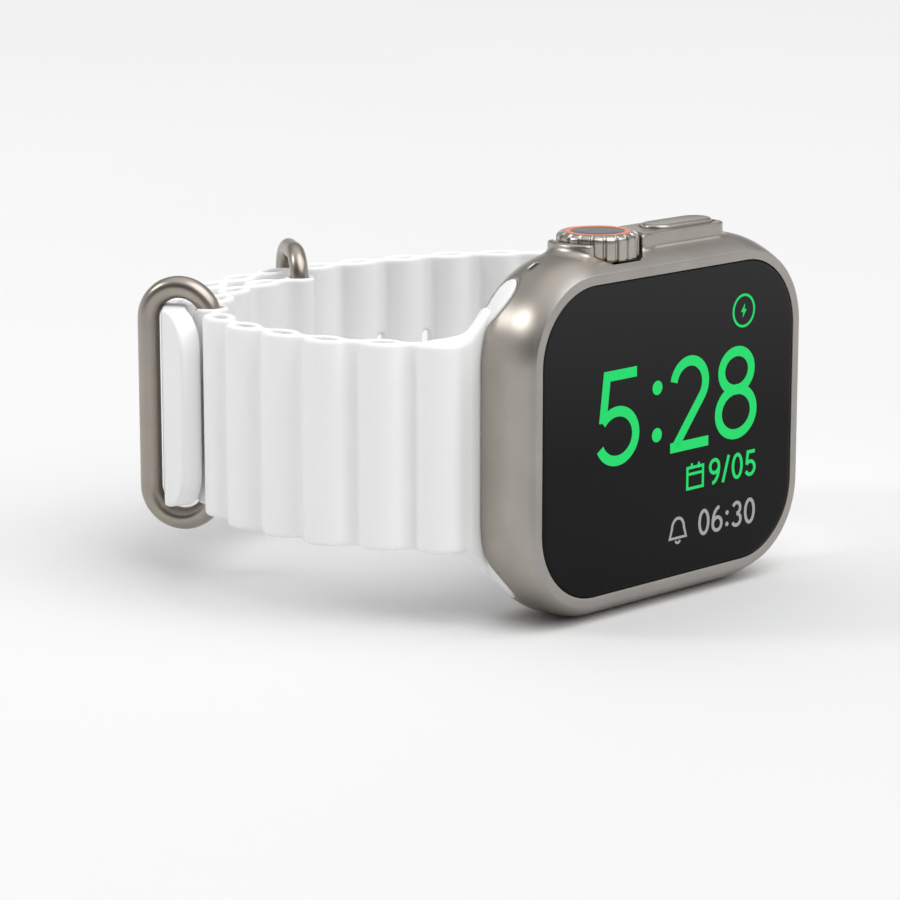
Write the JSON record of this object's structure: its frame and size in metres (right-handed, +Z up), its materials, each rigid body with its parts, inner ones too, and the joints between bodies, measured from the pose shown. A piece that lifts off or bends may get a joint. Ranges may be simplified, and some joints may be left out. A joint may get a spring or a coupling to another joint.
{
  "type": "smartwatch",
  "caption": "Rectangular smartwatch on its side, with a turning crown, side buttons, domed rear crystal and a closed ribbed strap with wire buckle and keeper loops.",
  "frame": {"origin": "centre of the flat at the top of the domed rear crystal, where a charger sits", "axes": "+Z up towards the crown side, +Y out of the rear crystal away from the display, -X towards the 12 o'clock strap"},
  "size_m": [0.0773, 0.0678, 0.046],
  "materials": {
    "titanium": "fine bead-blasted grey metal, satin",
    "sapphire": "flat polished clear crystal",
    "display": "emissive display panel",
    "ceramic": "polished dark ceramic",
    "rear_crystal": "domed dark crystal",
    "accent": "anodised orange",
    "crown_disc": "dark satin disc",
    "strap": "soft matte white elastomer",
    "lug": "white hard plastic",
    "steel": "turned steel",
    "seal": "black rubber",
    "board": "green circuit board",
    "chip": "black moulded chip",
    "battery": "dark foil pouch",
    "copper": "wound copper",
    "black_plastic": "black moulded plastic",
    "flex": "amber flexible circuit"
  },
  "bodies": {
    "case": {"case_body": "titanium", "display_crystal": "sapphire", "display_gasket": "seal", "display_panel": "display", "mid_frame": "titanium", "back_gasket": "seal", "back_cover": "ceramic", "back_crystal": "rear_crystal", "back_screws": "steel", "battery": "battery", "haptic_engine": "steel", "main_board": "board", "board_chips": "chip", "sensor_board": "board", "charging_coil": "copper", "alignment_magnet": "steel", "display_cable": "flex", "antenna": "flex", "speaker": "black_plastic", "siren_speaker": "black_plastic", "microphone": "black_plastic", "speaker_mesh": "black_plastic", "siren_mesh": "black_plastic", "crown_sleeve": "steel", "crown_seal": "seal", "crown_switch": "steel", "crown_sensor": "chip", "side_button_seal": "seal", "side_button_switch": "steel", "action_button_seal": "seal", "action_button_switch": "steel"},
    "crown_slider": {"crown_carrier": "steel"},
    "crown": {"crown_cap": "titanium", "crown_ring": "accent", "crown_disc": "crown_disc", "crown_shaft": "steel", "crown_encoder_wheel": "black_plastic"},
    "side_button": {"side_button": "titanium"},
    "action_button": {"action_button": "accent"},
    "latch_near": {"latch_near": "titanium"},
    "latch_far": {"latch_far": "titanium"},
    "band": {"strap_near": "strap", "strap_far": "strap", "lug_near": "lug", "lug_far": "lug", "lug_catch_near": "steel", "lug_catch_far": "steel"},
    "buckle": {"buckle_ring": "titanium"},
    "keeper": {"keeper_loop": "titanium"}
  },
  "joints": [
    {"name": "crown_press", "type": "slide", "parent": "case", "child": "crown_slider", "axis": [0, 0, -1], "range_m": [0, 0.0004], "stiffness_N_per_m": 1500, "springref_m": -0.0006},
    {"name": "crown_turn", "type": "hinge", "parent": "crown_slider", "child": "crown", "pos_m": [-0.0073, -0.0086, 0.022], "axis": [0, 0, 1], "continuous": true},
    {"name": "side_button_press", "type": "slide", "parent": "case", "child": "side_button", "axis": [0, 0, -1], "range_m": [0, 0.0004], "stiffness_N_per_m": 1500, "springref_m": -0.0006},
    {"name": "action_button_press", "type": "slide", "parent": "case", "child": "action_button", "axis": [0, 0, 1], "range_m": [0, 0.0004], "stiffness_N_per_m": 1500, "springref_m": -0.0006},
    {"name": "latch_near_press", "type": "slide", "parent": "case", "child": "latch_near", "axis": [0, -1, 0], "range_m": [0, 0.0006], "stiffness_N_per_m": 800, "springref_m": -0.0006},
    {"name": "latch_far_press", "type": "slide", "parent": "case", "child": "latch_far", "axis": [0, -1, 0], "range_m": [0, 0.0006], "stiffness_N_per_m": 800, "springref_m": -0.0006},
    {"name": "band_slide", "type": "slide", "parent": "case", "child": "band", "axis": [0, 0, 1], "range_m": [0, 0.042]},
    {"name": "buckle_swing", "type": "hinge", "parent": "band", "child": "buckle", "pos_m": [-0.0308, 0.0345, 0], "axis": [0, 0, 1], "range_deg": [0, 10]},
    {"name": "keeper_swing", "type": "hinge", "parent": "band", "child": "keeper", "pos_m": [-0.0077, 0.0437, 0], "axis": [0, 0, 1], "range_deg": [0, 40]}
  ]
}
